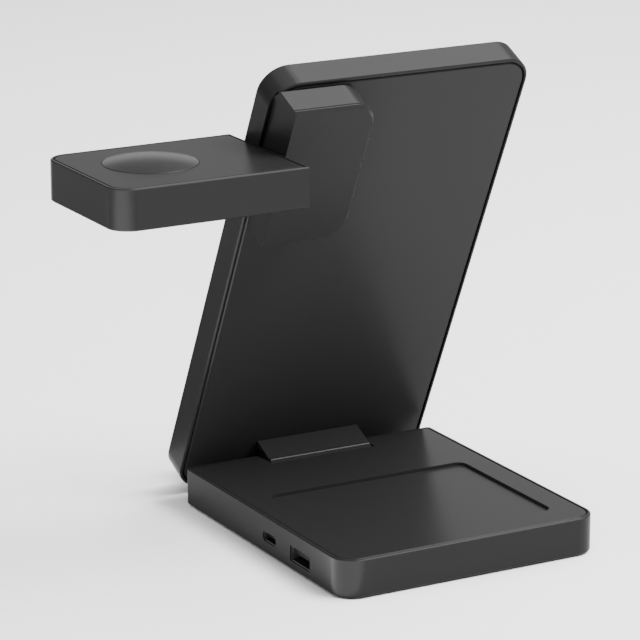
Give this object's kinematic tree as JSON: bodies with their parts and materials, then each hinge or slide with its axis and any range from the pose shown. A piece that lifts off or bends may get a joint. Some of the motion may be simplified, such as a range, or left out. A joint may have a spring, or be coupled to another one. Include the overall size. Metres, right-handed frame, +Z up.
{
  "type": "three in one wireless charger",
  "caption": "Folding desk charger: a leaning phone plate on a hinged neck, a level side platform for a watch and a base with an earbud tray.",
  "frame": {"origin": "middle of the base's underside, on the desk", "axes": "+X along the charger's width with the watch platform at -X, +Y from the tray side to the phone side, +Z up"},
  "size_m": [0.1651, 0.1409, 0.1647],
  "materials": {
    "shell": "satin",
    "cover": "fine satin",
    "pad": "matt",
    "steel": "turned",
    "socket_metal": "plated",
    "contact_plastic": "moulded",
    "board": "lacquered",
    "chip": "moulded",
    "copper": "enamelled winding",
    "ferrite": "sintered"
  },
  "bodies": {
    "base": {"base_frame": "shell", "base_top_cover": "cover", "base_bottom_cover": "cover", "anti_slip_pad": "pad", "base_board": "board", "driver_chip": "chip", "choke": "ferrite", "usb_a_shell": "socket_metal", "usb_a_tongue": "contact_plastic", "usb_c_shell": "socket_metal", "usb_c_tongue": "contact_plastic", "earbud_coil": "copper", "earbud_ferrite": "ferrite"},
    "phone_plate": {"hinge_neck": "shell", "hinge_pin": "steel", "plate_frame": "shell", "plate_rear_cover": "cover", "phone_pad": "pad", "ledge_pad": "pad", "phone_coil": "copper", "phone_ferrite": "ferrite", "plate_board": "board", "control_chip": "chip", "arm_block_housing": "shell", "arm_block_cap": "cover", "arm_anchor": "steel", "swivel_pin": "steel", "swivel_washer": "contact_plastic"},
    "watch_platform": {"platform_frame": "shell", "platform_top_cover": "cover", "watch_puck": "cover", "watch_coil": "copper", "watch_ferrite": "ferrite", "watch_board": "board"}
  },
  "joints": [
    {"name": "phone_plate_fold", "type": "hinge", "parent": "base", "child": "phone_plate", "pos_m": [0, 0.05375, 0.0073], "axis": [1, 0, 0], "range_deg": [0, 64.5]},
    {"name": "watch_platform_tilt", "type": "hinge", "parent": "phone_plate", "child": "watch_platform", "pos_m": [-0.0487, -0.00606, 0.1319], "axis": [1, 0, 0], "range_deg": [-64.5, 0]}
  ]
}
